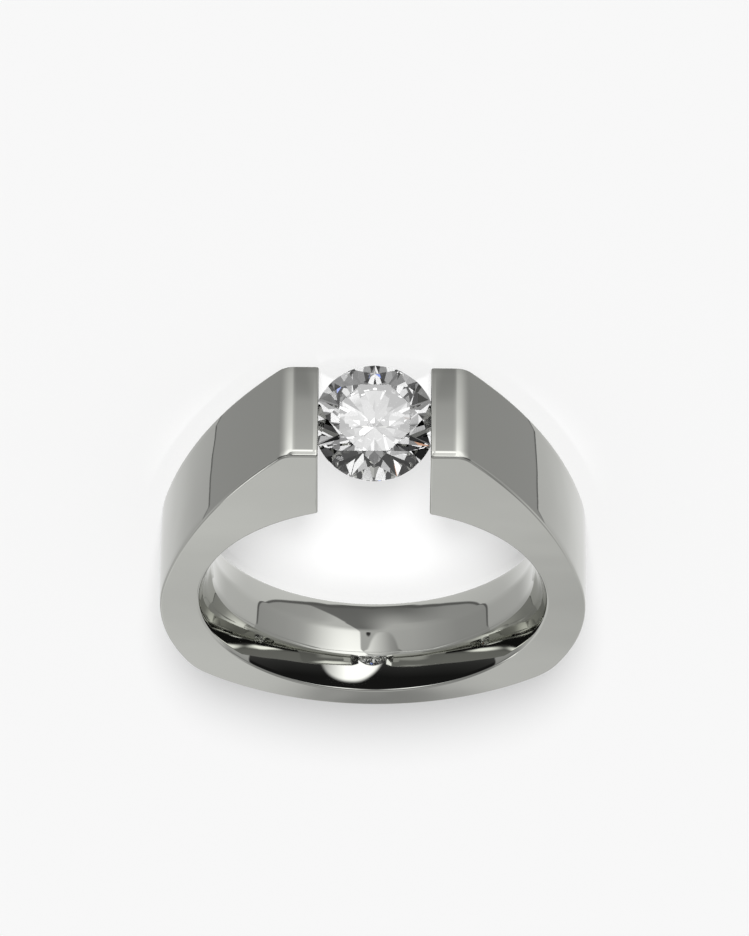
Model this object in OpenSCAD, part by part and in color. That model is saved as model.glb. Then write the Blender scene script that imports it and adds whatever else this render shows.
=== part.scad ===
// Tension set ring: a comfort fit band whose two tall heads grip a round brilliant.
// It lies on its side. +Z runs along the finger, the stone faces -Y, and the
// origin is the centre of the finger hole.

/* [Finger] */
// Inner diameter of the band in the middle of its width
finger_d = 17.6; // [15:0.1:22]
// Extra radius of the comfort fit bore at each side face
comfort_rise = 0.7; // [0.4:0.05:0.9]
// Length of the straight stretch in the middle of the bore
bore_flat_l = 1.1; // [0.6:0.1:2]
// Radius of the bend between the straight stretch and the slopes on both sides of it
bore_bend_r = 2; // [1:0.1:3]

/* [Band] */
// Width of the band along the finger
band_w = 5.7; // [4.5:0.1:8]
// Metal outside the bore at the bottom, opposite the stone
wall_bottom = 2.2; // [1.5:0.1:3]
// Metal outside the bore where the band is widest
wall_side = 2.85; // [2:0.05:3.5]
// How far the widest place lies below the finger's centre
widest_drop = 0.8; // [0:0.1:2]
// How far the centre of the bottom curve lies above the finger's centre
bottom_shift = 3.8; // [2:0.1:5]
// How far the centre of a side curve lies past the finger's centre
side_shift = 0.6; // [0:0.1:1.5]
// Radius of the two lower corners
corner_r = 4.15; // [3:0.05:5.5]
// Angle above the widest place at which a side runs into its shoulder
shoulder_a = 12; // [8:1:16]
// Rounding of the long edges and of the heads' end edges
edge_r = 0.12; // [0.1:0.02:0.4]

/* [Heads] */
// Length of the flat top of a head, from the gap to its rounding
head_flat_l = 1.3; // [0.8:0.1:2]
// Radius between a head's flat top and its shoulder
head_r = 1.2; // [0.6:0.1:2]
// How far the middle of the stone's girdle lies below the flat tops
stone_drop = 1.2; // [1:0.1:1.6]
// Room between the stone's point and the finger
culet_clearance = 2; // [1:0.1:3]

/* [Stone] */
// Diameter of the stone at its girdle
stone_d = 6.5; // [5:0.1:8]
// Size of the flat table on top, from corner to corner
table_d = 4.05; // [3.2:0.05:4.5]
// Slope of the eight kite facets of the crown
crown_a = 34.5; // [32:0.5:36]
// Slope of the eight main facets of the pavilion
pavilion_a = 40.9; // [40:0.1:42]
// Thickness of the girdle at its thinnest
girdle_t = 0.05; // [0.03:0.01:0.15]
// Width of the small flat that ends the pavilion
culet_d = 0.12; // [0.05:0.01:0.3]
// Length of a star facet, as a share of the way from the table to the girdle
star_share = 0.5; // [0.4:0.05:0.6]
// Length of a lower half facet, as a share of the way from the girdle to the point
lower_share = 0.77; // [0.7:0.01:0.85]
// How far the stone's top leans towards the upper side face of the band
stone_lean = 13; // [0:1:16]

/* [Seats] */
// How deep the girdle sits in each head
seat_depth = 0.25; // [0.15:0.05:0.35]
// Room between the stone and its seats
seat_clearance = 0.02; // [0.01:0.01:0.05]

/* [Hidden] */
$fn = 96;
// Facets are counted round the stone in eighths of a turn
facets = 8;
eighth = 360 / facets;
// Degrees between the points of the outline, and between those of its rounded edges
outline_step = 4;
edge_step = 30;
// Segments of the surfaces that turn about an axis
fine_fn = 240;
// How far a cut runs past the surface that it opens
past = 0.25;

// The stone: radii are measured from its axis, heights from the middle of its girdle
stone_r = stone_d / 2;
table_r = table_d / 2;
table_flat_r = table_r * cos(eighth / 2);
chord_r = stone_r * cos(eighth / 4);
crown_h = (stone_r - table_r) * tan(crown_a);
star_tip_r = table_flat_r + star_share * (stone_r - table_flat_r);
star_tip_drop = (star_tip_r * cos(eighth / 2) - table_r) * tan(crown_a);
star_a = atan(star_tip_drop / (star_tip_r - table_flat_r));
upper_a = atan((crown_h - star_tip_drop) / (chord_r - star_tip_r * cos(eighth / 4)));
lower_tip_r = stone_r * (1 - lower_share);
lower_tip_drop = (stone_r - lower_tip_r * cos(eighth / 2)) * tan(pavilion_a);
lower_a = atan(lower_tip_drop / (chord_r - lower_tip_r * cos(eighth / 4)));
half_a = max(upper_a, lower_a);
girdle_z = girdle_t / 2 + (stone_r - chord_r) * tan(half_a);
table_z = girdle_z + crown_h;
culet_z = girdle_z + (stone_r - culet_d / 2) * tan(pavilion_a);

// The band is drawn with the stone up: x runs across, and u from the finger's centre
// to the stone
bore_r = finger_d / 2;
rim_r = bore_r + comfort_rise;
comfort_run = (band_w - bore_flat_l) / 2;
comfort_a = atan2(comfort_run, bore_bend_r - comfort_rise)
    - acos(bore_bend_r / norm([comfort_run, bore_bend_r - comfort_rise]));
gap_w = stone_d - 2 * seat_depth;
stone_u = bore_r + culet_clearance + culet_z * cos(stone_lean);
head_u = stone_u + stone_drop;

// Each curve of the outline has a centre and a radius, and runs smoothly into the next
bottom_c = [0, bottom_shift];
bottom_r = bore_r + wall_bottom + bottom_shift;
side_c = [-side_shift, -widest_drop];
side_r = bore_r + wall_side + side_shift;
corner_c = meeting_point(bottom_c, bottom_r - corner_r, side_c, side_r - corner_r);
corner_a0 = direction(bottom_c, corner_c);
corner_a1 = direction(side_c, corner_c);
head_c = [gap_w / 2 + head_flat_l, head_u - head_r];
shoulder_n = [cos(shoulder_a), sin(shoulder_a)];
shoulder_p = side_c + side_r * shoulder_n;
shoulder_r = (pow(norm(head_c - shoulder_p), 2) - pow(head_r, 2))
    / (-2 * (shoulder_n * (head_c - shoulder_p) + head_r));
shoulder_c = shoulder_p - shoulder_r * shoulder_n;
head_a = direction(shoulder_c, head_c);

// Direction from p to q, in degrees
function direction(p, q) = atan2(q[1] - p[1], q[0] - p[0]);

// The lower right one of the two points at distance r from p and s from q
function meeting_point(p, r, q, s) =
    let (d = norm(q - p), e = (q - p) / d, along = (r * r - s * s + d * d) / (2 * d),
         aside = sqrt(r * r - along * along))
    p + along * e + aside * [-e[1], e[0]];

// Points along one curve of the outline, moved inwards by inset
function curve(c, r, a0, a1, inset) =
    let (steps = ceil((a1 - a0) / outline_step))
    [for (i = [0 : steps]) let (a = a0 + (a1 - a0) * i / steps) c + (r - inset) * [cos(a), sin(a)]];

// The outline's right half, from the middle of the bottom up to the end of the flat top
function half_outline(inset) = concat(
    curve(bottom_c, bottom_r, -90, corner_a0, inset),
    curve(corner_c, corner_r, corner_a0, corner_a1, inset),
    curve(side_c, side_r, corner_a1, shoulder_a, inset),
    curve(shoulder_c, shoulder_r, shoulder_a, head_a, inset),
    curve(head_c, head_r, head_a, 90, inset));

// The band before it is cut: one outline, rounded over along both of its edges
module blank() {
    hull() for (a = [0 : edge_step : 90]) {
        half = half_outline(edge_r * (1 - cos(a)));
        linear_extrude(band_w - 2 * edge_r * (1 - sin(a)), center = true)
            polygon(concat(half, [for (p = half) [-p[0], p[1]]]));
    }
}

// Section of the metal round the finger hole, from the middle of the width to one side
// face: a straight stretch, a bend and a slope
module hole_wall() {
    depth = rim_r + 2 * past - bore_r;
    run = comfort_run + past;
    square([depth, bore_flat_l / 2]);
    intersection() {
        translate([bore_bend_r, bore_flat_l / 2]) circle(bore_bend_r, $fn = fine_fn);
        translate([0, bore_flat_l / 2]) square([depth, bore_bend_r * sin(comfort_a)]);
    }
    translate([0, bore_flat_l / 2]) polygon([
        [bore_bend_r * (1 - cos(comfort_a)), bore_bend_r * sin(comfort_a)],
        [comfort_rise + past * tan(comfort_a), run], [depth, run], [depth, bore_bend_r * sin(comfort_a)]]);
}

// The finger hole: straight in the middle, and easing outwards to both side faces
module finger_hole() {
    rotate_extrude($fn = fine_fn) difference() {
        translate([0, -band_w / 2 - past]) square([rim_r + past, band_w + 2 * past]);
        for (s = [-1, 1])
            translate([bore_r, 0]) scale([1, s]) hole_wall();
    }
}

// Section of what rounds a sharp edge at the origin, between metal's +x and +y sides
module edge_cut() {
    difference() {
        translate([-past, -past]) square(edge_r + past);
        translate([edge_r, edge_r]) circle(edge_r);
    }
}

// The gap between the heads, with the end edges of both heads rounded
module head_gap() {
    rotate([-90, 0, 0]) linear_extrude(head_u + past) {
        square([gap_w, band_w + 2 * past], center = true);
        for (sx = [-1, 1], sy = [-1, 1])
            scale([sx, sy]) translate([gap_w / 2, -band_w / 2]) edge_cut();
    }
    for (s = [-1, 1])
        linear_extrude(band_w + 2 * past, center = true)
            scale([s, -1]) translate([gap_w / 2, -head_u]) edge_cut();
}

// Places what is drawn in the stone's own axes, where +z points out of its table
module at_stone() {
    translate([0, stone_u, 0]) rotate([stone_lean - 90, 0, 0]) children();
}

// The two notches in which the girdle sits, as one turned cutter
module seats() {
    inner_r = gap_w / 2 - edge_r;
    outer_r = stone_r + seat_clearance;
    edge_z = girdle_z + seat_clearance;
    inner_z = edge_z + (outer_r - inner_r) * tan(half_a);
    at_stone() rotate_extrude($fn = fine_fn)
        polygon([[0, -inner_z], [inner_r, -inner_z], [outer_r, -edge_z],
            [outer_r, edge_z], [inner_r, inner_z], [0, inner_z]]);
}

module band() {
    color([0.68, 0.68, 0.65]) rotate(180) difference() {
        blank();
        finger_hole();
        head_gap();
        seats();
    }
}

// A slab with a pair of opposite facets above the girdle and a pair below it. Each pair
// has its slope, and its radius where it comes level with the girdle's edge.
module slab(turn, up_a, up_r, down_a, down_r) {
    top = girdle_z + up_r * tan(up_a);
    bottom = -girdle_z - down_r * tan(down_a);
    side = (top - bottom) / (tan(up_a) + tan(down_a));
    side_z = top - side * tan(up_a);
    rotate([90, 0, turn]) linear_extrude(2 * stone_d, center = true)
        polygon([[0, top], [side, side_z], [0, bottom], [-side, side_z]]);
}

// The brilliant: a round blank, ground by slabs that are turned about its axis
module stone() {
    star_r = table_flat_r + crown_h / tan(star_a);
    color([0.9, 0.93, 0.96]) rotate(180) at_stone() intersection() {
        translate([0, 0, -culet_z]) cylinder(h = culet_z + table_z, r = stone_r);
        // Kites above, and the main facets below
        intersection_for (k = [0 : facets / 2 - 1])
            slab((k + 0.5) * eighth, crown_a, stone_r, pavilion_a, stone_r);
        // Stars round the table, with nothing ground below
        intersection_for (k = [0 : facets / 2 - 1])
            slab(k * eighth, star_a, star_r, pavilion_a, stone_d);
        // The halves on both sides of the girdle
        intersection_for (k = [0 : facets - 1])
            slab((k + 0.5) * eighth / 2, upper_a, chord_r, lower_a, chord_r);
    }
}

band();
stone();
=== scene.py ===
# %% [markdown]
# # A tension set ring
# This lesson dresses one ring: a polished titanium band whose two tall heads squeeze a round
# brilliant between them. The pieces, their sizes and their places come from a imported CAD
# model, which is loaded first. The cells below then build a fine skin for the band, cut the
# stone facet by facet, mix both finishes and set up a soft light tent.

# %% Load the frame
import math

import bmesh
import bpy
import numpy as np
from mathutils import Matrix, Vector


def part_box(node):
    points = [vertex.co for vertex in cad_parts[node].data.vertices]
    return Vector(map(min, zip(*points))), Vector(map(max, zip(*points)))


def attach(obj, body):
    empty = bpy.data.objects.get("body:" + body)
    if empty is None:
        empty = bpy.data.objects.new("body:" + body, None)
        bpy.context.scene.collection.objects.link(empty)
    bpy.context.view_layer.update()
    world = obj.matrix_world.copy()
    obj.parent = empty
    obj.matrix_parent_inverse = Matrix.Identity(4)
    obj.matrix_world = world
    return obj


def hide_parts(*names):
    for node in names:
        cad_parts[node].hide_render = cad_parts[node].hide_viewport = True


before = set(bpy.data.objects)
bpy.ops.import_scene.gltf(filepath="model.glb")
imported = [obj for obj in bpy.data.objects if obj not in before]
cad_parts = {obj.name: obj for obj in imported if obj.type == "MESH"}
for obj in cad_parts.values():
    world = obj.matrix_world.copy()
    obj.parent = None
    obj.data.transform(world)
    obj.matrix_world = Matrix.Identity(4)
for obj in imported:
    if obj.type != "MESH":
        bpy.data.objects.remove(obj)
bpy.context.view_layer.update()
print("CAD nodes:", sorted(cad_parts))

# %% [markdown]
# ## The view
# The photo looks down at the ring at a steep angle, with the stone at the top. Here the ring
# lies on its side, so the same view is had from in front of the stone and above the floor,
# with the camera turned upside down. A long lens from half a metre away keeps the ring's
# shape nearly free of perspective, as in the photo.

# %% Camera
MM = 0.001
PHOTO_SIZE = (749, 936)
FINGER_CENTRE_PIXEL = (373.15, 557.35)
CAMERA_DISTANCE = 489 * MM
CAMERA_TILT = math.radians(58.22)
CAMERA_ROLL = math.radians(0.59)
PIXELS_PER_MM = 18.304
SENSOR = 36.0


def ring_point(across, up, along):
    """A point given across the ring, from the finger's centre to the stone, and along the finger, in mm."""
    return Vector((-across, -up, along)) * MM


def make_camera():
    """Stands the camera where the photo was taken from, so that the ring falls where it does there."""
    away = Vector((0, -math.sin(CAMERA_TILT), math.cos(CAMERA_TILT)))
    up = Matrix.Rotation(CAMERA_ROLL, 3, away) @ Vector((0, -math.cos(CAMERA_TILT), -math.sin(CAMERA_TILT)))
    right = up.cross(away)
    eye = away * CAMERA_DISTANCE
    off_x = (PHOTO_SIZE[0] / 2 - FINGER_CENTRE_PIXEL[0]) / PIXELS_PER_MM * MM
    off_y = (FINGER_CENTRE_PIXEL[1] - PHOTO_SIZE[1] / 2) / PIXELS_PER_MM * MM
    aim = right * off_x + up * off_y
    back = (eye - aim).normalized()
    side = up.cross(back).normalized()
    turn = Matrix((side, back.cross(side), back)).transposed()
    data = bpy.data.cameras.new("photo_camera")
    data.sensor_width = SENSOR
    data.lens = PIXELS_PER_MM * CAMERA_DISTANCE / MM * SENSOR / max(PHOTO_SIZE)
    data.clip_start = 10 * MM
    camera = bpy.data.objects.new("photo_camera", data)
    camera.matrix_world = Matrix.Translation(eye) @ turn.to_4x4()
    bpy.context.collection.objects.link(camera)
    bpy.context.scene.camera = camera
    return camera


photo_camera = make_camera()
print("lens in mm:", round(photo_camera.data.lens, 1))

# %% [markdown]
# ## The outline of the band
# Seen along the finger, the real band is cut to one outline of smooth curves: a shallow
# bottom, two tight lower corners, bowed sides, long shoulders and a flat top on each head.
# A draughtsman gives each curve a centre and a radius so that it runs into the next one
# without a kink. The same is done here, with the CAD model's sizes.

# %% Sizes of the band, in mm
BORE_R = 8.8
COMFORT_RISE = 0.7
BORE_FLAT = 1.1
BORE_BEND_R = 2.0
BAND_W = 5.7
WALL_BOTTOM = 2.2
WALL_SIDE = 2.85
WIDEST_DROP = 0.8
BOTTOM_SHIFT = 3.8
SIDE_SHIFT = 0.6
CORNER_R = 4.15
SHOULDER_ANGLE = math.radians(12)
EDGE_R = 0.12
END_R = 0.12
RIM_R = 0.09
CROWN = 0.05
HEAD_FLAT = 1.3
HEAD_R = 1.2
GAP = 6.0
HEAD_TOP = -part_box("band")[0][1] / MM
print("head top above the finger's centre, in mm:", round(HEAD_TOP, 3))


# %% Curves that run smoothly into each other
def heading(p, q):
    """Direction from p to q, in radians."""
    return math.atan2(q[1] - p[1], q[0] - p[0])


def lower_meeting_point(p, r, q, s):
    """The lower right one of the two points at distance r from p and s from q."""
    d = math.dist(p, q)
    ex, ey = (q[0] - p[0]) / d, (q[1] - p[1]) / d
    along = (r * r - s * s + d * d) / (2 * d)
    aside = math.sqrt(r * r - along * along)
    return (p[0] + along * ex - aside * ey, p[1] + along * ey + aside * ex)


def outline_curves():
    """(centre, radius, first angle, last angle) of each curve of the right side, from the bottom up."""
    bottom_c = (0.0, BOTTOM_SHIFT)
    bottom_r = BORE_R + WALL_BOTTOM + BOTTOM_SHIFT
    side_c = (-SIDE_SHIFT, -WIDEST_DROP)
    side_r = BORE_R + WALL_SIDE + SIDE_SHIFT
    corner_c = lower_meeting_point(bottom_c, bottom_r - CORNER_R, side_c, side_r - CORNER_R)
    head_c = (GAP / 2 + HEAD_FLAT, HEAD_TOP - HEAD_R)
    nx, ny = math.cos(SHOULDER_ANGLE), math.sin(SHOULDER_ANGLE)
    start = (side_c[0] + side_r * nx, side_c[1] + side_r * ny)
    lean = nx * (head_c[0] - start[0]) + ny * (head_c[1] - start[1])
    shoulder_r = (HEAD_R**2 - math.dist(head_c, start) ** 2) / (2 * (lean + HEAD_R))
    shoulder_c = (start[0] - shoulder_r * nx, start[1] - shoulder_r * ny)
    corner_a0, corner_a1 = heading(bottom_c, corner_c), heading(side_c, corner_c)
    head_a = heading(shoulder_c, head_c)
    return [
        (bottom_c, bottom_r, -math.pi / 2, corner_a0),
        (corner_c, CORNER_R, corner_a0, corner_a1),
        (side_c, side_r, corner_a1, SHOULDER_ANGLE),
        (shoulder_c, shoulder_r, SHOULDER_ANGLE, head_a),
        (head_c, HEAD_R, head_a, math.pi / 2),
    ]


for centre, radius, a0, a1 in outline_curves():
    print("radius %.2f mm, from %.0f to %.0f degrees" % (radius, math.degrees(a0), math.degrees(a1)))

# %% [markdown]
# ## Stations along the band
# The skin is swept: at each station along the outline stands one closed section of the band.
# A station pairs a point of the outline and the outline's normal there with a point of the
# bore. Near the gap the sections stand parallel to the gap, and round the finger they turn
# until they point away from its centre. The last few stations at each end shrink along a
# quarter circle, which rounds the edges of the heads.

# %% Place the stations
STATION_STEP = 0.16
END_STEPS = 6
TURN_START = 0.7 * SHOULDER_ANGLE


def right_side_stations():
    """(outline point, its normal, angle of the bore point, inset) up to the right head's end face."""
    stations = []
    for centre, radius, a0, a1 in outline_curves():
        steps = max(6, math.ceil(radius * (a1 - a0) / STATION_STEP))
        for i in range(1 if stations else 0, steps + 1):
            a = a0 + (a1 - a0) * i / steps
            normal = np.array([math.cos(a), math.sin(a)])
            stations.append([np.array(centre) + radius * normal, normal, None, 0.0])
    flat_end = stations[-1][0][0]
    face = GAP / 2
    up = np.array([0.0, 1.0])
    steps = math.ceil((flat_end - face - END_R) / STATION_STEP)
    for i in range(1, steps + 1):
        x = flat_end - (flat_end - face - END_R) * i / steps
        stations.append([np.array([x, HEAD_TOP]), up, None, 0.0])
    for i in range(1, END_STEPS + 1):
        a = math.pi / 2 * i / END_STEPS
        x = face + END_R * (1 - math.sin(a))
        stations.append([np.array([x, HEAD_TOP]), up, None, END_R * (1 - math.cos(a))])
    return set_bore_angles(stations, flat_end)


def set_bore_angles(stations, flat_end):
    """Radial below the shoulder, straight down under the flat top, and evenly spread between."""
    points = [s[0] for s in stations]
    length = np.concatenate([[0], np.cumsum([math.dist(p, q) for p, q in zip(points, points[1:])])])
    first = next(i for i, p in enumerate(points) if heading((0, 0), p) > TURN_START)
    last = next(i for i, p in enumerate(points) if p[0] <= flat_end + 1e-6 and p[1] > BORE_R)
    a_first = heading((0, 0), points[first])
    a_last = math.acos(flat_end / BORE_R)
    for i, station in enumerate(stations):
        share = (length[i] - length[first]) / (length[last] - length[first])
        if i <= first:
            station[2] = heading((0, 0), points[i])
        elif i < last:
            station[2] = a_first + (a_last - a_first) * share
        else:
            station[2] = math.acos(points[i][0] / BORE_R)
    return stations


stations = right_side_stations()
print("stations on one side:", len(stations))

# %% [markdown]
# ## The section
# Across the band, the section has a nearly straight outside, two rounded outer edges, two
# flat side faces and a comfort fit inside: straight in the middle, then a short bend and a
# slope out to both rims, so that only the middle rubs on the finger. A jeweller turns that
# inside first, because it sets the ring's size. A buffing wheel leaves no surface quite
# straight, so the outside and the slopes are given a very faint curve.

# %% Section of the band
ROUND_STEPS = 6
CROWN_STEPS = 8
RIM_STEPS = 3
SLOPE_STEPS = 10
BEND_STEPS = 8
FLAT_STEPS = 3
BEND_END = 1.13
BEND_ANGLE = math.radians(16.5)
RIM_ANGLE = math.radians(24)
FLAT_TILT = math.radians(0.9)


def bore_tilt(f):
    """How far the bore leans outwards at distance f from the middle of the width, in radians."""
    flat = BORE_FLAT / 2
    if f <= flat:
        return FLAT_TILT * f / flat
    if f <= BEND_END:
        return max(FLAT_TILT, math.asin(min((f - flat) / BORE_BEND_R, math.sin(BEND_ANGLE))))
    share = (f - BEND_END) / (BAND_W / 2 - BEND_END)
    return BEND_ANGLE + (RIM_ANGLE - BEND_ANGLE) * share


tilt_f = np.linspace(0, BAND_W / 2, 401)
tilt_rise = np.concatenate([[0], np.cumsum([math.tan(bore_tilt(f)) for f in tilt_f[1:]]) * tilt_f[1]])
print("rise of the slopes in mm:", round(tilt_rise[-1], 3))


def bore_radius(f):
    """Radius of the comfort fit bore at distance f from the middle of the width."""
    return BORE_R + float(np.interp(abs(f), tilt_f, tilt_rise)) * COMFORT_RISE / tilt_rise[-1]


def crown_depth(f):
    """How much the polishing wheel takes off the outside at distance f from the middle of the width."""
    return CROWN * (f / (BAND_W / 2)) ** 2


def half_section(inset):
    """From the outside round to the bore: ("out" or "bore", depth from that surface, f)."""
    half = BAND_W / 2 - inset
    edge = max(EDGE_R - inset, 0.0)
    rows = []
    for i in range(CROWN_STEPS):
        f = (half - edge) * i / CROWN_STEPS
        rows.append(("out", inset + crown_depth(f), f))
    for i in range(ROUND_STEPS + 1):
        b = math.pi / 2 * i / ROUND_STEPS
        f = half - edge * (1 - math.sin(b))
        rows.append(("out", inset + crown_depth(f) + edge * (1 - math.cos(b)), f))
    rim = max(RIM_R - inset, 0.0)
    rim_f = half - rim
    for i in range(RIM_STEPS + 1):
        b = math.pi / 2 * i / RIM_STEPS
        f = half - rim * (1 - math.cos(b))
        rows.append(("bore", inset + rim * (1 - math.sin(b)), f))
    slope = np.linspace(rim_f, BEND_END, SLOPE_STEPS + 1)[1:]
    bend = np.linspace(BEND_END, BORE_FLAT / 2, BEND_STEPS + 1)[1:]
    flat = np.linspace(BORE_FLAT / 2, 0.0, FLAT_STEPS + 1)[1:]
    for f in np.concatenate([slope, bend, flat]):
        rows.append(("bore", inset, f))
    return rows


def along_to_radius(point, towards, radius):
    """Where the straight line from a point of the outline towards the bore reaches a radius."""
    b = point @ towards
    return point + towards * (-b - math.sqrt(b * b - point @ point + radius * radius))


def section_points(station, side):
    """The closed, flat section at a station, as points in the ring's own directions."""
    point, normal, bore_angle, inset = station
    towards = BORE_R * np.array([math.cos(bore_angle), math.sin(bore_angle)]) - point
    towards /= np.linalg.norm(towards)
    rows = half_section(inset)
    loop = rows + [(kind, depth, -f) for kind, depth, f in reversed(rows[1:-1])]
    out = []
    for kind, depth, f in loop:
        if kind == "out":
            x, u = point - normal * depth
        else:
            x, u = along_to_radius(point, towards, bore_radius(f) + depth)
        out.append((side * x, u, f))
    return out


print("points in a section:", len(section_points(stations[0], 1)))

# %% [markdown]
# ## The skin of the band
# Neighbouring sections are joined with four sided faces, and the two ends are closed. Faces
# that follow the curve of the metal keep long reflections clean, which matters more on a
# mirror polish than anything else.


# %% Sweep the band
WELD = 0.0005 * MM


def sweep_band():
    """One closed mesh from the left head's end face, round the finger, to the right one."""
    order = [(s, -1) for s in reversed(stations[1:])] + [(s, 1) for s in stations]
    mesh = bmesh.new()
    rings = []
    for station, side in order:
        rings.append([mesh.verts.new(ring_point(*p)) for p in section_points(station, side)])
    count = len(rings[0])
    for a, b in zip(rings, rings[1:]):
        for i in range(count):
            j = (i + 1) % count
            mesh.faces.new((a[i], a[j], b[j], b[i]))
    mesh.faces.new(rings[0][::-1])
    mesh.faces.new(rings[-1])
    bmesh.ops.remove_doubles(mesh, verts=mesh.verts, dist=WELD)
    bmesh.ops.recalc_face_normals(mesh, faces=mesh.faces)
    return mesh


def to_object(name, mesh):
    """Turns a bmesh into an object in the scene."""
    data = bpy.data.meshes.new(name)
    mesh.to_mesh(data)
    mesh.free()
    thing = bpy.data.objects.new(name, data)
    bpy.context.collection.objects.link(thing)
    return thing


band = to_object("polished_band", sweep_band())
print("faces on the band:", len(band.data.polygons))

# %% [markdown]
# ## The stone
# A round brilliant is ground from a round blank. Each facet is one flat cut, made at a set
# angle and at a set turn of the dop stick. The same is done here: a 96 sided blank is cut by
# one plane after another, and each cut is closed with one flat face. Where several cuts meet
# in one point, the corners that they leave side by side are joined.

# %% Sizes of the stone, in mm
STONE_D = 6.5
TABLE_D = 4.05
CROWN_ANGLE = math.radians(34.5)
PAVILION_ANGLE = math.radians(40.9)
GIRDLE_T = 0.05
CULET_D = 0.12
STAR_SHARE = 0.5
LOWER_SHARE = 0.77
STONE_LEAN = math.radians(13)
STONE_DROP = 1.2
STONE_UP = HEAD_TOP - STONE_DROP
EIGHTH = math.pi / 4

stone_r = STONE_D / 2
table_r = TABLE_D / 2
table_flat_r = table_r * math.cos(EIGHTH / 2)
chord_r = stone_r * math.cos(EIGHTH / 4)
crown_h = (stone_r - table_r) * math.tan(CROWN_ANGLE)
star_tip_r = table_flat_r + STAR_SHARE * (stone_r - table_flat_r)
star_tip_drop = (star_tip_r * math.cos(EIGHTH / 2) - table_r) * math.tan(CROWN_ANGLE)
star_angle = math.atan(star_tip_drop / (star_tip_r - table_flat_r))
upper_angle = math.atan((crown_h - star_tip_drop) / (chord_r - star_tip_r * math.cos(EIGHTH / 4)))
lower_tip_r = stone_r * (1 - LOWER_SHARE)
lower_tip_drop = (stone_r - lower_tip_r * math.cos(EIGHTH / 2)) * math.tan(PAVILION_ANGLE)
lower_angle = math.atan(lower_tip_drop / (chord_r - lower_tip_r * math.cos(EIGHTH / 4)))
half_angle = max(upper_angle, lower_angle)
girdle_z = GIRDLE_T / 2 + (stone_r - chord_r) * math.tan(half_angle)
table_z = girdle_z + crown_h
culet_z = girdle_z + (stone_r - CULET_D / 2) * math.tan(PAVILION_ANGLE)
print("star %.1f, upper half %.1f, lower half %.1f degrees" % tuple(
    math.degrees(a) for a in (star_angle, upper_angle, lower_angle)))


# %% Cut the brilliant
BLANK_SIDES = 96
JOIN_WITHIN = 1e-4


def facet_list():
    """(turn, slope, radius, height, side) of every sloping facet; side is -1 below the girdle."""
    cuts = []
    for k in range(8):
        kite = (k + 0.5) * EIGHTH
        star = k * EIGHTH
        cuts.append((kite, CROWN_ANGLE, stone_r, girdle_z, 1))
        cuts.append((star, star_angle, table_flat_r, table_z, 1))
        cuts.append((kite, PAVILION_ANGLE, stone_r, girdle_z, -1))
        for s in (-0.25, 0.25):
            cuts.append((star + s * EIGHTH, upper_angle, chord_r, girdle_z, 1))
            cuts.append((star + s * EIGHTH, lower_angle, chord_r, girdle_z, -1))
    return cuts


def cut_flat(mesh, point, normal):
    """Takes off all that lies beyond a plane, and closes the cut with one face."""
    everything = list(mesh.verts) + list(mesh.edges) + list(mesh.faces)
    cut = bmesh.ops.bisect_plane(
        mesh, geom=everything, dist=1e-7, plane_co=point, plane_no=normal, clear_outer=True)
    edges = [e for e in cut["geom_cut"] if isinstance(e, bmesh.types.BMEdge)]
    bmesh.ops.edgenet_fill(mesh, edges=edges)


def stone_place():
    """The stone's own axes, in the ring: its table looks away from the finger and leans a little."""
    s, c = math.sin(STONE_LEAN), math.cos(STONE_LEAN)
    turn = Matrix(((-1, 0, 0), (0, -s, -c), (0, -c, s))).transposed().to_4x4()
    return Matrix.Translation(ring_point(0, STONE_UP, 0)) @ turn


def cut_stone():
    """The whole brilliant, in metres and in place."""
    mesh = bmesh.new()
    deep = culet_z + table_z
    middle = Matrix.Translation((0, 0, (table_z - culet_z) / 2))
    bmesh.ops.create_cone(
        mesh, cap_ends=True, segments=BLANK_SIDES, radius1=stone_r, radius2=stone_r, depth=deep,
        matrix=middle)
    for turn, slope, radius, height, side in facet_list():
        point = Vector((radius * math.cos(turn), radius * math.sin(turn), side * height))
        normal = Vector((
            math.sin(slope) * math.cos(turn), math.sin(slope) * math.sin(turn), side * math.cos(slope)))
        cut_flat(mesh, point, normal)
    bmesh.ops.remove_doubles(mesh, verts=mesh.verts, dist=JOIN_WITHIN)
    bmesh.ops.dissolve_degenerate(mesh, edges=mesh.edges, dist=JOIN_WITHIN)
    bmesh.ops.recalc_face_normals(mesh, faces=mesh.faces)
    mesh.transform(stone_place() @ Matrix.Scale(MM, 4))
    return mesh


brilliant = to_object("round_brilliant", cut_stone())
print("faces on the stone:", len(brilliant.data.polygons))
cad_stone = [list(corner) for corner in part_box("stone")]
own = [v.co for v in brilliant.data.vertices]
print("stone against CAD in mm:", [
    round((min(v[i] for v in own) - cad_stone[0][i]) / MM, 3) for i in range(3)])

# %% [markdown]
# ## The seats
# The stone is held because its girdle sits in a shallow notch in each head, and the band
# springs shut on it. A setter cuts the notches with a bur that has the shape of the stone's
# edge. Here the bur is a turned disc, taken from the band with a boolean.

# %% Bur the two seats
SEAT_ROOM = 0.02
BUR_SIDES = 128


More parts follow.
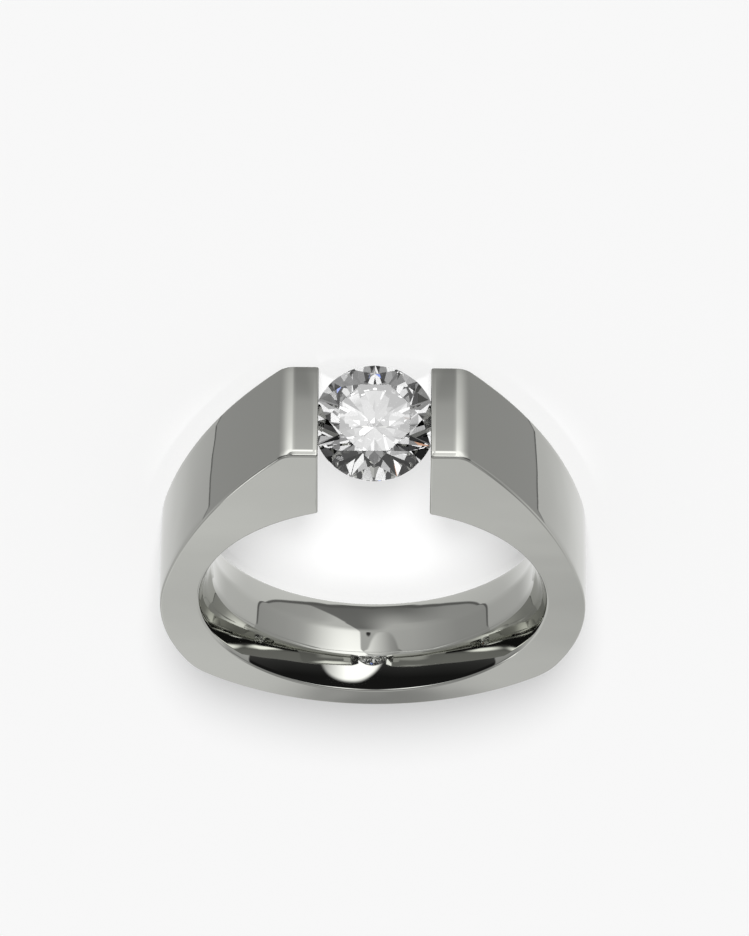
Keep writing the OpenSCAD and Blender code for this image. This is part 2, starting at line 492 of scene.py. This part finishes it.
def make_bur():
    """A disc with the slopes of the stone's edge, a little larger than the stone."""
    mesh = bmesh.new()
    inner = GAP / 2 - END_R
    outer = stone_r + SEAT_ROOM
    edge = girdle_z + SEAT_ROOM
    rise = edge + (outer - inner) * math.tan(half_angle)
    profile = [(0, -rise), (inner, -rise), (outer, -edge), (outer, edge), (inner, rise), (0, rise)]
    rings = []
    for k in range(BUR_SIDES):
        a = math.tau * k / BUR_SIDES
        rings.append([mesh.verts.new((r * math.cos(a), r * math.sin(a), z)) for r, z in profile])
    for a, b in zip(rings, rings[1:] + rings[:1]):
        for i in range(len(profile) - 1):
            mesh.faces.new((a[i], b[i], b[i + 1], a[i + 1]))
    bmesh.ops.remove_doubles(mesh, verts=mesh.verts, dist=1e-5)
    bmesh.ops.recalc_face_normals(mesh, faces=mesh.faces)
    mesh.transform(stone_place() @ Matrix.Scale(MM, 4))
    return to_object("bur", mesh)


def apply_modifiers(thing):
    """Keeps the mesh as the modifiers leave it."""
    view = bpy.context.evaluated_depsgraph_get()
    result = bpy.data.meshes.new_from_object(thing.evaluated_get(view))
    thing.modifiers.clear()
    thing.data = result


bur = make_bur()
cut = band.modifiers.new("seats", "BOOLEAN")
cut.operation = "DIFFERENCE"
cut.solver = "EXACT"
cut.object = bur
apply_modifiers(band)
bpy.data.objects.remove(bur)
print("faces on the band with its seats:", len(band.data.polygons))


# %% [markdown]
# ## Smooth metal, flat facets
# Buffing leaves the metal's curves smooth, but its side faces are lapped flat on a plate. So
# the band is shaded smooth, and the borders of the side faces are kept as true edges, which
# stops their flat tone from bleeding into the roundings. The stone's facets stay flat.

# %% Smooth metal, flat facets
SHARP_ABOVE = 38
LEVEL_NORMAL = 0.9999


def shade(thing, smooth, sharp_above=None):
    """Sets smooth or flat shading, with true edges and the borders of the side faces kept sharp."""
    thing.data.polygons.foreach_set("use_smooth", [smooth] * len(thing.data.polygons))
    if sharp_above:
        thing.data.set_sharp_from_angle(angle=math.radians(sharp_above))
        mesh = bmesh.new()
        mesh.from_mesh(thing.data)
        for edge in mesh.edges:
            level = [abs(face.normal.z) > LEVEL_NORMAL for face in edge.link_faces]
            if any(level) and not all(level):
                edge.smooth = False
        mesh.to_mesh(thing.data)
        mesh.free()
        weigh = thing.modifiers.new("even_normals", "WEIGHTED_NORMAL")
        weigh.keep_sharp = True
        weigh.weight = 100
    thing.data.update()


shade(band, True, sharp_above=SHARP_ABOVE)
shade(brilliant, False)


# %% [markdown]
# ## Polished titanium
# Titanium is a little darker and warmer than silver or platinum. Its polish is bright but
# never quite flat: the buff leaves waves far too shallow to feel, which only show as a slight
# wander in the reflections. A metallic surface with a low roughness gives the colour, and a
# soft noise bump of a few hundredths of a millimetre gives the wander.

# %% Titanium
TITANIUM_TONE = (0.60, 0.605, 0.57, 1)
POLISH_ROUGHNESS = 0.03
WAVES_TO_THE_METRE = 280
WAVE_DEPTH = 0.03 * MM


def new_material(name):
    """A material with its nodes and links."""
    material = bpy.data.materials.new(name)
    material.use_nodes = True
    return material, material.node_tree.nodes, material.node_tree.links


def titanium():
    """Bright metal with the faint waves of a buffed surface."""
    material, nodes, links = new_material("polished_titanium")
    skin = nodes["Principled BSDF"]
    skin.inputs["Base Color"].default_value = TITANIUM_TONE
    skin.inputs["Metallic"].default_value = 1.0
    skin.inputs["Roughness"].default_value = POLISH_ROUGHNESS
    coords = nodes.new("ShaderNodeTexCoord")
    waves = nodes.new("ShaderNodeTexNoise")
    waves.inputs["Scale"].default_value = WAVES_TO_THE_METRE
    waves.inputs["Detail"].default_value = 1.0
    links.new(coords.outputs["Object"], waves.inputs["Vector"])
    bump = nodes.new("ShaderNodeBump")
    bump.inputs["Strength"].default_value = 1.0
    bump.inputs["Distance"].default_value = WAVE_DEPTH
    links.new(waves.outputs[0], bump.inputs["Height"])
    links.new(bump.outputs[0], skin.inputs["Normal"])
    return material


band.data.materials.clear()
band.data.materials.append(titanium())
print("on the band:", band.data.materials[0].name)

# %% [markdown]
# ## Diamond
# A diamond is clear, and it bends light more than any other clear stone, with an index of
# 2.417. Light that enters the table is thrown back twice by the pavilion, so the stone shows
# a pattern of small pieces of the room instead of what lies behind it. That needs no tricks:
# a fully transmitting, perfectly smooth surface on true flat facets does it.

# %% Diamond
DIAMOND_INDEX = 2.417


def diamond():
    """Clear stone without any roughness."""
    material, nodes, links = new_material("clear_diamond")
    skin = nodes["Principled BSDF"]
    skin.inputs["Base Color"].default_value = (1, 1, 1, 1)
    skin.inputs["Roughness"].default_value = 0.0
    skin.inputs["IOR"].default_value = DIAMOND_INDEX
    skin.inputs["Transmission Weight"].default_value = 1.0
    return material


brilliant.data.materials.append(diamond())
print("on the stone:", brilliant.data.materials[0].name)

# %% [markdown]
# ## Sums written as shader nodes
# The light tent below is not painted. Each part of it is a small sum over the direction in
# which a reflection looks: how far it turns away from the stone's side of the ring, and how
# high it looks. The next cell holds a few helpers that write such sums as shader nodes.

# %% Helpers for sums in nodes
class NodeSums:
    """Writes sums into one node tree. A value is a number, a colour or another node's output."""

    def __init__(self, tree):
        self.nodes = tree.nodes
        self.links = tree.links

    def feed(self, socket, value):
        """Sets a socket to a number or a colour, or links it."""
        if isinstance(value, bpy.types.NodeSocket):
            self.links.new(value, socket)
        elif isinstance(value, (int, float)) and socket.type == "RGBA":
            socket.default_value = (value, value, value, 1)
        else:
            socket.default_value = value

    def calc(self, kind, *values):
        """One math node."""
        node = self.nodes.new("ShaderNodeMath")
        node.operation = kind
        for socket, value in zip(node.inputs, values):
            self.feed(socket, value)
        return node.outputs[0]

    def ease(self, value, start, end):
        """0 before start, 1 after end, and a soft change between."""
        node = self.nodes.new("ShaderNodeMapRange")
        node.interpolation_type = "SMOOTHSTEP"
        self.feed(node.inputs["Value"], value)
        self.feed(node.inputs["From Min"], start)
        self.feed(node.inputs["From Max"], end)
        return node.outputs["Result"]

    def between(self, value, low, high, soft):
        """1 between low and high, 0 outside, with soft edges."""
        rise = self.ease(value, low - soft / 2, low + soft / 2)
        fall = self.ease(value, high - soft / 2, high + soft / 2)
        return self.calc("MULTIPLY", rise, self.calc("SUBTRACT", 1.0, fall))

    def mix(self, mask, below, above):
        """below where the mask is 0, above where it is 1."""
        node = self.nodes.new("ShaderNodeMix")
        node.data_type = "RGBA"
        # A colour mix keeps its factor in input 0, its colours in 6 and 7, and its result in output 2
        self.feed(node.inputs[0], mask)
        self.feed(node.inputs[6], below)
        self.feed(node.inputs[7], above)
        return node.outputs[2]

    def by_level(self, level, low, high, rows):
        """A tone for each level between low and high, given as (level, tone) rows in rising order."""
        node = self.nodes.new("ShaderNodeValToRGB")
        steps = node.color_ramp.elements
        while len(steps) < len(rows):
            steps.new(0.5)
        for step, (at, tone) in zip(steps, rows):
            step.position = (at - low) / (high - low)
            step.color = (tone, tone, tone, 1)
        share = self.calc("DIVIDE", self.calc("SUBTRACT", level, low), high - low)
        self.feed(node.inputs["Fac"], share)
        return node.outputs["Color"]


# %% [markdown]
# ## The room that the metal mirrors
# Polished metal has hardly a colour of its own: it shows the room. In the photo the ring
# stood on a white table, with a grey backdrop on the stone's side and the dark end of the
# room above it. Inside the finger hole that gives a bright surface with a darker, square
# patch at the bottom. The same room is built here as a world shader. It needs the direction
# of a reflection in the ring's own terms: how far it turns to the side of the stone, which
# is `turn`, and how high it looks, which is `height`, both in degrees.

# %% Directions in the room
world = bpy.data.worlds.new("light_tent")
world.use_nodes = True
world.node_tree.nodes.clear()
room = NodeSums(world.node_tree)
calc, ease, between, mix = room.calc, room.ease, room.between, room.mix
coords = room.nodes.new("ShaderNodeTexCoord")
split = room.nodes.new("ShaderNodeSeparateXYZ")
room.links.new(coords.outputs["Generated"], split.inputs[0])
across = calc("MULTIPLY", split.outputs["X"], -1.0)
up = calc("MULTIPLY", split.outputs["Y"], -1.0)
along = split.outputs["Z"]
side = calc("ABSOLUTE", across)
down = calc("MAXIMUM", calc("MULTIPLY", along, -1.0), 0.0)
turn = calc("DEGREES", calc("ARCTAN2", across, up))
wide = calc("ABSOLUTE", turn)
height = calc("DEGREES", calc("ARCSINE", along))


def spot(middle_turn, middle_height, turn_size, height_size, hard=0.3):
    """1 in the middle of an oval spot, as far out as hard says, and 0 outside it; places in degrees."""
    a = calc("DIVIDE", calc("SUBTRACT", turn, middle_turn), turn_size)
    b = calc("DIVIDE", calc("SUBTRACT", height, middle_height), height_size)
    away = calc("SQRT", calc("ADD", calc("MULTIPLY", a, a), calc("MULTIPLY", b, b)))
    return calc("SUBTRACT", 1.0, ease(away, hard, 1.0))


def both(*masks):
    """1 only where every mask is 1."""
    result = masks[0]
    for mask in masks[1:]:
        result = calc("MULTIPLY", result, mask)
    return result


print("helpers for the room are ready")

# %% [markdown]
# The table fills all that lies low and to the sides. It is brightest close to the ring and
# greyer far away, with a paler part behind the bottom of the band. `slide` and `rise` say
# where a reflection that looks down meets the plane of the table.

# %% The table
slide = calc("DIVIDE", across, calc("MAXIMUM", down, 0.05))
rise = calc("DIVIDE", up, calc("MAXIMUM", down, 0.05))
table = room.by_level(height, -90, 90, [
    (-90, 0.84), (-70, 0.82), (-60, 0.76), (-50, 0.69), (-42, 0.65), (-32, 0.60), (-24, 0.55), (-10, 0.47),
    (5, 0.43), (12, 0.38), (22, 0.24), (42, 0.30), (60, 0.30), (72, 0.50), (90, 0.60)])
table = mix(both(ease(wide, 128, 160), between(height, -60, -10, 10)), table, 0.84)
table = mix(both(ease(wide, 101, 116), between(height, -14, 34, 6)), table, 0.64)
table = calc("MULTIPLY", table, calc("ADD", 0.98, calc("MULTIPLY", across, 0.11)))
print("nodes for the table:", len(room.nodes))

# %% [markdown]
# The backdrop is a grey sheet that stands on the stone's side. It is paler in the middle than
# at its sides. Above it the room is nearly black, and paler again only near the ceiling.

# %% The backdrop
grey = room.by_level(turn, -180, 180, [
    (-100, 0.38), (-65, 0.40), (-48, 0.47), (-30, 0.57), (-12, 0.61), (8, 0.60), (22, 0.72), (38, 0.70),
    (50, 0.56), (66, 0.48), (95, 0.42)])
grey = mix(ease(height, -46, -14), grey, calc("MULTIPLY", grey, 0.86))
black = room.by_level(height, -90, 90, [
    (-4, 0.10), (4, 0.035), (9, 0.012), (22, 0.012), (30, 0.30), (50, 0.34), (62, 0.30),
    (72, 0.50), (90, 0.60)])
grey = mix(ease(height, -13, 2), grey, black)
print("nodes with the backdrop:", len(room.nodes))

# %% [markdown]
# The sheet is folded over at its foot. The fold lies in its own shade: a dark wedge with one
# sharp border, where the paper turns, and one soft border.

# %% The dark fold and the foot of the backdrop
FOLD_TONE = 0.215
FOOT_TONE = 0.19
fold_edge = calc("ADD", 0.24, calc("MULTIPLY", 0.65, calc("MAXIMUM", calc("SUBTRACT", 0.45, rise), 0.0)))
inside = ease(calc("SUBTRACT", fold_edge, slide), -0.012, 0.012)
fold = both(ease(slide, -0.24, 0.14), inside, calc("SUBTRACT", 1.0, ease(height, -48, -33)))
foot = both(ease(slide, -0.62, -0.16), inside, calc("SUBTRACT", 1.0, ease(rise, 0.24, 0.52)))
foot = both(foot, calc("SUBTRACT", 1.0, ease(height, -58, -48)))
grey = mix(fold, grey, FOLD_TONE)
grey = mix(foot, grey, FOOT_TONE)
print("nodes with the fold:", len(room.nodes))

# %% [markdown]
# The border between the table and the backdrop is the line that shows inside the finger
# hole. It is given as a curve of `rise` against `slide`, with 0.3 added because a colour ramp
# holds no negative tones, and a thin dark line runs along it, as under any sheet of paper.

# %% Where the table ends
RAMP_SHIFT = 0.3
LINE_TONE = 0.14
edge_rise = room.by_level(calc("ABSOLUTE", slide), 0, 6, [
    (0, 0.54), (0.17, 0.51), (0.3, 0.48), (0.45, 0.39), (0.6, 0.25), (0.74, 0.10), (0.82, 0.05),
    (0.92, 0.06), (1.1, 0.11), (1.5, 0.21), (2.4, 0.33), (4, 0.47), (6, 0.80)])
past = calc("SUBTRACT", rise, calc("SUBTRACT", edge_rise, RAMP_SHIFT))
low_part = ease(past, -0.014, 0.014)
high_part = calc("SUBTRACT", 1.0, ease(wide, 83.2, 84.8))
tone = mix(mix(ease(height, -9, -5), low_part, high_part), table, grey)
rim = both(between(past, 0.0, 0.045, 0.03), between(height, -79, -28, 8))
tone = mix(rim, tone, LINE_TONE)
print("nodes with the border:", len(room.nodes))

# %% [markdown]
# ## Lamps
# One large round soft box hangs on the stone's side, a little to the right, and its light
# also falls down the backdrop below it. A smaller one faces the stone's table, and a dim
# round shape stands to its left. Long narrow lamps hang higher up. They show where the metal
# mirrors itself, as the bright streaks along the bend of the comfort fit.

# %% Lamps
GLOW_TONE = 1.62
STONE_LAMP = (0, -5.8, 9, 5)
STONE_LAMP_TONE = 3.0
SHAPE_FOOT_TONE = 0.04
glow = both(ease(height, -49, -26), calc("SUBTRACT", 1.0, ease(height, -6, 1)))
glow = both(glow, calc("SUBTRACT", 1.0, ease(turn, 14, 56)), ease(turn, 1, 5))
glow = both(glow, ease(calc("SUBTRACT", slide, fold_edge), -0.02, 0.02))
tone = mix(glow, tone, GLOW_TONE)
tone = mix(spot(*STONE_LAMP, 0.75), tone, STONE_LAMP_TONE)
low_shape = spot(-7.5, -23, 14, 11.5, 0.88)
low_tone = room.by_level(turn, -180, 180, [(-22, 0.26), (-13, 0.44), (-4, 0.82), (2, 1.1)])
tone = mix(low_shape, tone, low_tone)
tone = mix(spot(3, -33.2, 2.2, 1.0, 0.5), tone, SHAPE_FOOT_TONE)
box = both(spot(14, -2, 23, 14.3, 0.86), ease(height, -6, 0))
box_tone = room.by_level(turn, -180, 180, [
    (-6, 1.5), (2, 1.75), (17, 1.75), (25, 1.1), (32, 0.55), (38, 0.25)])
tone = mix(box, tone, box_tone)
LONG_LAMPS = [
    (-128, 44, 36, 5, 1.9), (122, 48, 24, 4, 0.8), (-33, 26, 34, 3.5, 2.3), (27, 26, 34, 3.5, 2.0)]
for *place, light in LONG_LAMPS:
    tone = mix(spot(*place, 0.3), tone, light)
print("nodes with the lamps:", len(room.nodes))

# %% [markdown]
# ## What the stone sees
# Each facet shows another small part of the room, so a stone only sparkles in a room that is
# full of small differences. Noise over all directions gives them: mostly dark with white
# sparks far out, and a soft grey in the middle, where the table looks. Pale places and small
# white lamps lie where the crown's facets look, which keeps the crown livelier than the table.
# A diamond also splits light into colours, and a few blue and orange sparks stand for that.

# %% What the stone sees
def grain(scale):
    """Soft random grain over all directions."""
    noise = room.nodes.new("ShaderNodeTexNoise")
    room.links.new(coords.outputs["Generated"], noise.inputs["Vector"])
    noise.inputs["Scale"].default_value = scale
    noise.inputs["Detail"].default_value = 1.0
    return noise.outputs[0]


PALE_PLACES = [(0, 13.5, 24, 7.5), (-31, -5, 17, 6.5), (31, -5, 17, 6.5), (-55, 36, 24, 9), (55, 36, 24, 9)]
SMALL_LAMPS = [
    STONE_LAMP, (-37, -6, 7, 5), (22, -26, 6, 4), (-37, 66, 9, 7), (100, 66, 12, 7), (37, -75, 12, 7)]
SMALL_LAMP_TONE = 1.3
lit = room.by_level(grain(7), 0, 1, [(0.36, 0.30), (0.45, 0.44), (0.53, 0.75), (0.62, 1.3)])
dim = room.by_level(grain(6), 0, 1, [(0.34, 0.17), (0.46, 0.25), (0.54, 0.34), (0.62, 0.43), (0.72, 0.54)])
unlit = room.by_level(grain(9), 0, 1, [(0.46, 0.02), (0.53, 0.05), (0.555, 0.30), (0.58, 1.1), (0.75, 1.6)])
clear = mix(spot(0, 7, 44, 33, 0.75), unlit, dim)
for place in PALE_PLACES:
    clear = mix(spot(*place, 0.8), clear, lit)
for place in SMALL_LAMPS:
    clear = mix(spot(*place, 0.7), clear, SMALL_LAMP_TONE)
BLUE = (0.3, 0.45, 1.2, 1)
ORANGE = (0.8, 0.46, 0.3, 1)
SPARKS = [
    (-38, 30, 3, BLUE), (28, 18, 2.5, BLUE), (40, 52, 3, BLUE),
    (18, 34, 2.5, ORANGE), (-20, 52, 3, ORANGE), (-50, -35, 3, ORANGE)]
for turn_at, height_at, size, colour in SPARKS:
    clear = mix(spot(turn_at, height_at, size, size, 0.5), clear, colour)
print("nodes with the stone's part:", len(room.nodes))

# %% [markdown]
# ## Closing the tent
# The metal mirrors the room, and light that left the stone meets the stone's own part of it.
# The camera sees a plain pale background, and the floor gets a weak even light from above.

# %% Close the tent
LIGHT_ON_FLOOR = 0.30
BACKGROUND = 0.94
path = room.nodes.new("ShaderNodeLightPath")
shown = mix(path.outputs["Is Transmission Ray"], tone, clear)
shown = mix(path.outputs["Is Diffuse Ray"], shown, LIGHT_ON_FLOOR)
shown = mix(path.outputs["Is Camera Ray"], shown, BACKGROUND)
background = room.nodes.new("ShaderNodeBackground")
out = room.nodes.new("ShaderNodeOutputWorld")
room.links.new(shown, background.inputs["Color"])
room.links.new(background.outputs[0], out.inputs[0])
bpy.context.scene.world = world
print("nodes in the light tent:", len(room.nodes))

# %% [markdown]
# ## Reflector boards
# The flat tops, their roundings and the shoulders each show one even tone that ends at a
# clean line. A photographer gets this with boards close to the ring. Three boards stand
# here like the roof of a tent, and only mirror reflections see them. They are set edge on
# to the finger hole, so that they don't show inside it.

# %% A helper for glowing boards
def place_on_board(sums):
    """(across, up, along) of the shaded point in mm, as nodes."""
    place = sums.nodes.new("ShaderNodeTexCoord")
    parts = sums.nodes.new("ShaderNodeSeparateXYZ")
    sums.links.new(place.outputs["Object"], parts.inputs[0])
    across = sums.calc("MULTIPLY", parts.outputs["X"], -1 / MM)
    up = sums.calc("MULTIPLY", parts.outputs["Y"], -1 / MM)
    along = sums.calc("MULTIPLY", parts.outputs["Z"], 1 / MM)
    return across, up, along


def make_glow(name, outlines, tone):
    """A staged board that only mirror reflections see; tone gives its brightness."""
    mesh = bmesh.new()
    for outline in outlines:
        mesh.faces.new([mesh.verts.new(ring_point(*point)) for point in outline])
    board = to_object(name, mesh)
    material, nodes, links = new_material(name)
    nodes.clear()
    glow = nodes.new("ShaderNodeEmission")
    out = nodes.new("ShaderNodeOutputMaterial")
    links.new(tone(NodeSums(material.node_tree)), glow.inputs["Color"])
    links.new(glow.outputs[0], out.inputs["Surface"])
    board.data.materials.append(material)
    for kind in ("visible_camera", "visible_diffuse", "visible_transmission", "visible_shadow"):
        setattr(board, kind, False)
    print(name, "has faces:", len(board.data.polygons))
    return board


# %% Reflector boards
BOARD_SLOPE = math.tan(math.radians(20))
BOARD_NEAR = 11.0
BOARD_FAR = 115.0
BOARD_DROP = 9.0
ROUND_X = GAP / 2 + HEAD_FLAT
EDGE_SLOPE = 0.717
EDGE_POINT = (17.4, 2.6)
SHOULDER_END = EDGE_POINT[1] + EDGE_SLOPE * EDGE_POINT[0]
SHOULDER_TONE = 0.385


def board_point(x, u):
    """A point of the boards; they fall away from the ring at one slope."""
    return (x, u, -BOARD_SLOPE * (max(abs(x), u) + BOARD_DROP))


def board_tone(sums):
    """Tone where the boards are seen from the flat tops, their roundings and the shoulders."""
    across, u, along = place_on_board(sums)
    x = sums.calc("ABSOLUTE", across)
    dx = sums.calc("SUBTRACT", x, ROUND_X)
    du = sums.calc("SUBTRACT", u, HEAD_TOP)
    squares = sums.calc("ADD", sums.calc("MULTIPLY", dx, dx), sums.calc("MULTIPLY", du, du))
    reach = sums.calc("SQRT", squares)
    turned = sums.calc("DEGREES", sums.calc("ARCTAN2", dx, du))
    flat = sums.by_level(u, 0, 120, [
        (26, 0.30), (34, 0.33), (38, 0.38), (43, 0.48), (52, 0.54), (62, 0.60), (76, 0.66),
        (84, 1.3), (90, 1.8)])
    beside_gap = sums.by_level(u, 0, 100, [(26, 0.36), (46, 0.62), (70, 1.0)])
    flat = sums.mix(sums.ease(x, 3.9, 3.2), flat, beside_gap)
    rounding = sums.by_level(reach, 0, 100, [(8, 0.55), (16, 0.66), (32, 0.92), (48, 1.25), (60, 1.6)])
    tone = sums.mix(sums.ease(turned, 0.0, 14.0), flat, rounding)
    tone = sums.mix(sums.ease(turned, 22.0, 84.0), tone, SHOULDER_TONE)
    inside = sums.calc("SUBTRACT", sums.calc("ADD", u, sums.calc("MULTIPLY", x, EDGE_SLOPE)), SHOULDER_END)
    return sums.mix(sums.ease(sums.calc("DIVIDE", inside, x), 0.02, 0.008), tone, 0.15)


def board_outlines():
    """Three flat boards that meet at their slanted edges."""
    near, far = BOARD_NEAR, BOARD_FAR
    edge_near = SHOULDER_END - EDGE_SLOPE * near
    edge_far = SHOULDER_END - EDGE_SLOPE * far
    top = [(-near, near), (near, near), (far, far), (-far, far)]
    right = [(near, near), (near, edge_near), (far, edge_far), (far, far)]
    left = [(-x, u) for x, u in reversed(right)]
    return [[board_point(x, u) for x, u in outline] for outline in (top, right, left)]


make_glow("reflector_boards", board_outlines(), board_tone)

# %% [markdown]
# One more board hangs in front of the flat side face that the camera sees. It is a little
# darker towards the bottom of the band, which keeps that broad face from looking like paper.

# %% Front board
FRONT_BOARD_U = -40.0
FRONT_BOARD_RISE = 0.62


def front_tone(sums):
    """Tone by the place on the side face that mirrors it."""
    x, up, along = place_on_board(sums)
    above = sums.calc("DIVIDE", sums.calc("SUBTRACT", along, BAND_W / 2), FRONT_BOARD_RISE)
    u = sums.calc("ADD", above, FRONT_BOARD_U)
    tone = sums.by_level(u, -16, 20, [
        (-16, 0.70), (-7, 0.73), (-4, 0.68), (0, 0.645), (4, 0.68), (8, 0.75), (12, 0.72), (20, 0.70)])
    tone = sums.calc("ADD", tone, sums.calc("MULTIPLY", x, -0.004))
    a = sums.calc("DIVIDE", sums.calc("SUBTRACT", x, 0.6), 8.5)
    b = sums.calc("DIVIDE", sums.calc("ADD", u, 12.0), 5.5)
    away = sums.calc("SQRT", sums.calc("ADD", sums.calc("MULTIPLY", a, a), sums.calc("MULTIPLY", b, b)))
    return sums.mix(sums.ease(away, 1.05, 0.1), tone, 0.32)


front_corners = [(-32, 10), (32, 10), (32, 50), (-32, 50)]
front_outline = [(x, FRONT_BOARD_U, f) for x, f in front_corners]
make_glow("front_board", [front_outline], front_tone)

# %% [markdown]
# ## The floor and its light
# The floor is a plain pale sheet. Part of its brightness is its own, as in a photo that was
# exposed to lose the sheet's edge. A low light from the stone's side lays the soft shadow
# beyond the bottom of the band, and a small light from above keeps the finger hole pale.

# %% Floor
FLOOR_HALF_WIDTH = 2.0
FLOOR_OWN_LIGHT = 0.43
FLOOR_GREY = 0.5


def make_floor():
    """A large flat sheet under the ring."""
    mesh = bmesh.new()
    bmesh.ops.create_grid(mesh, x_segments=1, y_segments=1, size=FLOOR_HALF_WIDTH)
    floor = to_object("floor", mesh)
    floor.location.z = min(v[2] for v in own)
    material, nodes, links = new_material("white_floor")
    skin = nodes["Principled BSDF"]
    skin.inputs["Base Color"].default_value = (FLOOR_GREY, FLOOR_GREY, FLOOR_GREY, 1)
    skin.inputs["Roughness"].default_value = 1.0
    skin.inputs["Specular IOR Level"].default_value = 0.0
    skin.inputs["Emission Color"].default_value = (1, 1, 1, 1)
    skin.inputs["Emission Strength"].default_value = FLOOR_OWN_LIGHT
    floor.data.materials.append(material)
    floor.visible_glossy = False
    floor.visible_transmission = False
    return floor


floor = make_floor()
print("floor at z in mm:", round(floor.location.z / MM, 3))


# %% Shadow light
LOW_LIGHT = 5.3
LOW_LIGHT_FROM = (0.0, -1.0, 0.466)
LOW_LIGHT_WIDTH = math.radians(13)
HOLE_LIGHT = 0.06
HOLE_LIGHT_PLACE = ring_point(0, 3.5, 60)
HOLE_LIGHT_WIDTH = math.radians(21)


def hang_lamp(name, kind, energy, toward, place=(0, 0, 0)):
    """A lamp that only lights the floor; toward is the direction from the ring to the lamp."""
    lamp = bpy.data.objects.new(name, bpy.data.lights.new(name, kind))
    lamp.data.energy = energy
    lamp.location = place
    lamp.rotation_euler = Vector(toward).to_track_quat("Z", "Y").to_euler()
    lamp.visible_glossy = False
    lamp.visible_transmission = False
    bpy.context.collection.objects.link(lamp)
    return lamp


low_light = hang_lamp("low_light", "SUN", LOW_LIGHT, LOW_LIGHT_FROM)
low_light.data.angle = LOW_LIGHT_WIDTH
hole_light = hang_lamp("hole_light", "SPOT", HOLE_LIGHT, (0, 0, 1), HOLE_LIGHT_PLACE)
hole_light.data.spot_size = HOLE_LIGHT_WIDTH
hole_light.data.spot_blend = 0.35
hole_light.data.shadow_soft_size = 2 * MM
bpy.context.scene.view_settings.view_transform = "Standard"
print("low light's width in degrees:", round(math.degrees(low_light.data.angle)))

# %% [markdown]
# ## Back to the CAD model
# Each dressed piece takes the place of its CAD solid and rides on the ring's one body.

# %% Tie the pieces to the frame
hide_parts("band")
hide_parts("stone")
for piece in (band, brilliant):
    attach(piece, "root")
